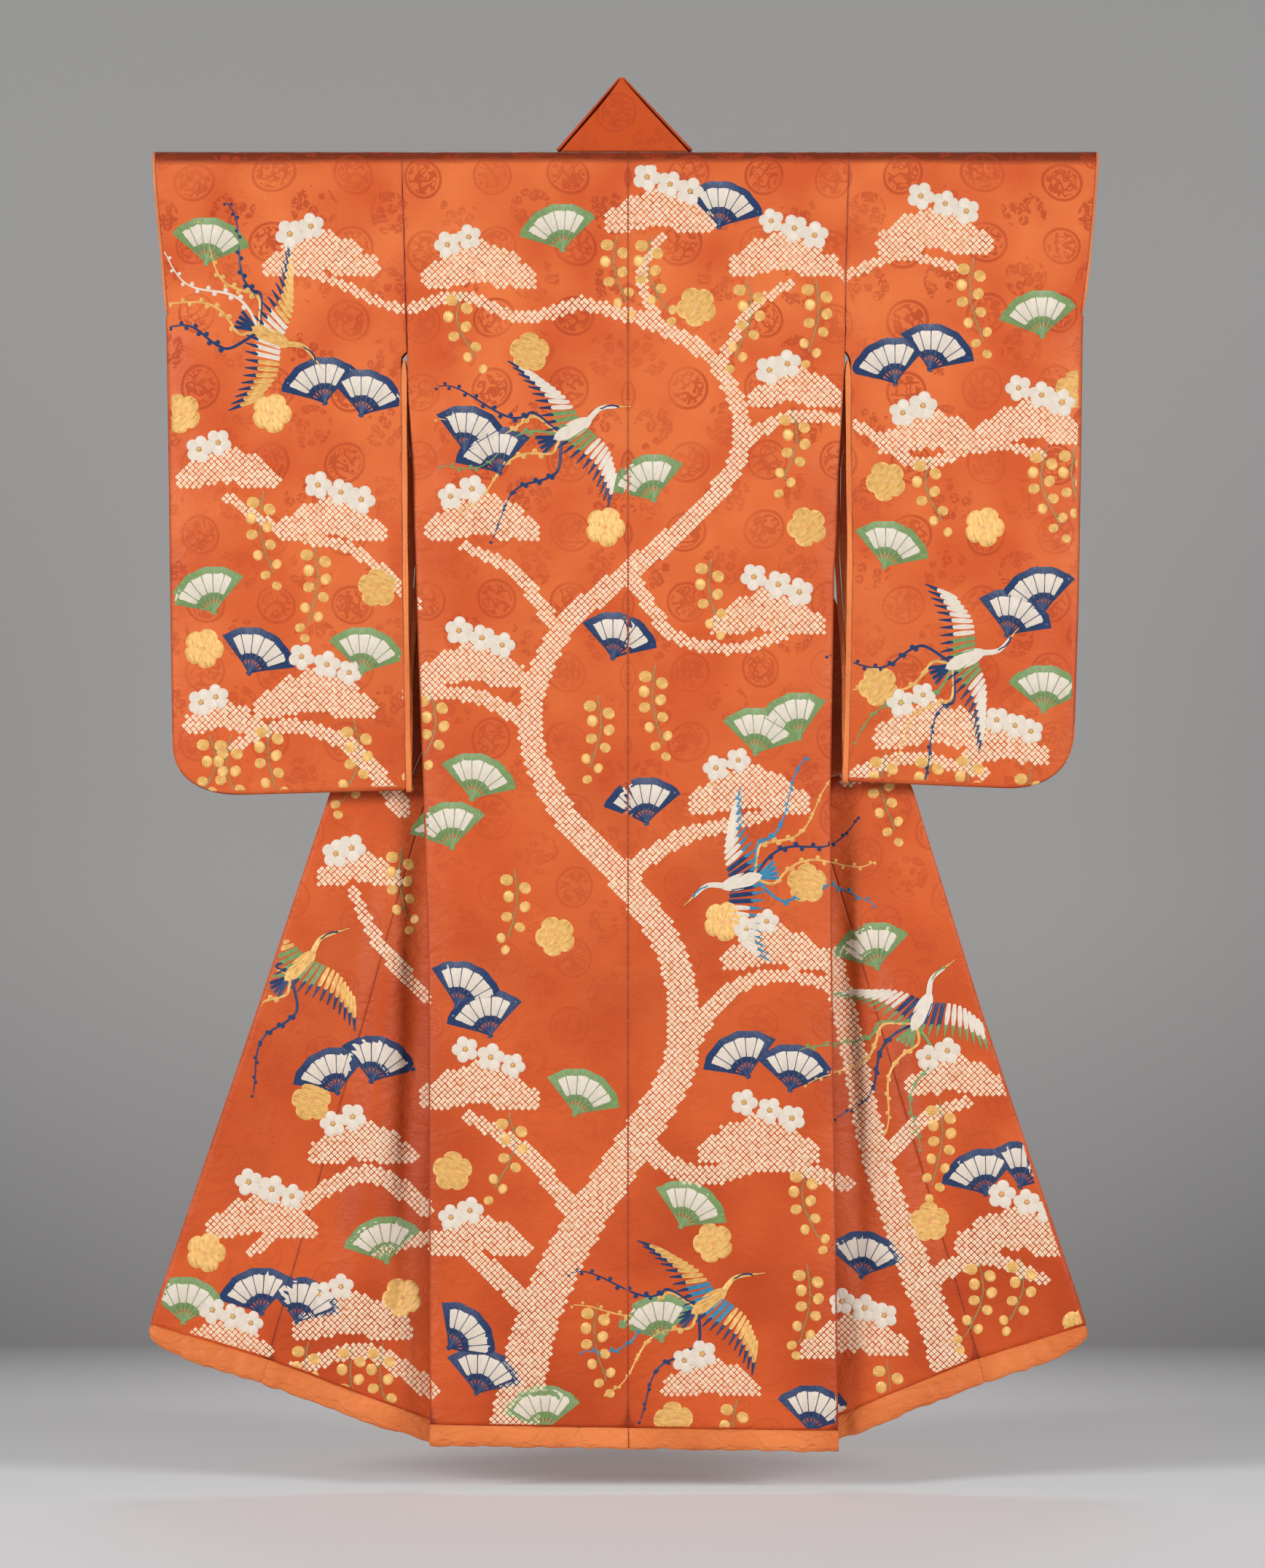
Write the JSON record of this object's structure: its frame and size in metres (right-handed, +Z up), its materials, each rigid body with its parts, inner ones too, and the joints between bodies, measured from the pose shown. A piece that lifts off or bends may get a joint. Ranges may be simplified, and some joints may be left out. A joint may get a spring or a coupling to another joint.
{
  "type": "furisode hung on a rod",
  "caption": "Long-sleeved silk kimono hung by its shoulders over a round rod, back outward, with its fronts turned out behind, a padded hem and a standing collar.",
  "frame": {"origin": "middle of the hanging rod, on its axis, where the rod holds the garment up", "axes": "+Z up, +X to the right as seen from behind the garment, and the garment's back faces -Y"},
  "size_m": [1.2576, 0.0579, 1.815],
  "materials": {
    "figured_silk": "figured satin silk, soft sheen, with tie-dye and embroidery",
    "lining_silk": "plain silk, softly padded at the hem",
    "embroidery": "satin-stitched silk floss and couched gold thread",
    "rod_wood": "smooth oiled wood"
  },
  "bodies": {
    "root": {"rod": "rod_wood", "collar_back": "figured_silk", "collar_left": "figured_silk", "collar_right": "figured_silk", "body_left": "figured_silk", "body_right": "figured_silk", "overlap_left": "figured_silk", "overlap_right": "figured_silk", "sleeve_left": "figured_silk", "sleeve_right": "figured_silk", "hem_back_left": "lining_silk", "hem_back_right": "lining_silk", "hem_front_left": "lining_silk", "hem_front_right": "lining_silk", "hem_overlap_left": "lining_silk", "hem_overlap_right": "lining_silk", "sleeve_lining_left": "lining_silk", "sleeve_lining_right": "lining_silk", "wrist_lining_left": "lining_silk", "wrist_lining_right": "lining_silk"}
  },
  "joints": []
}
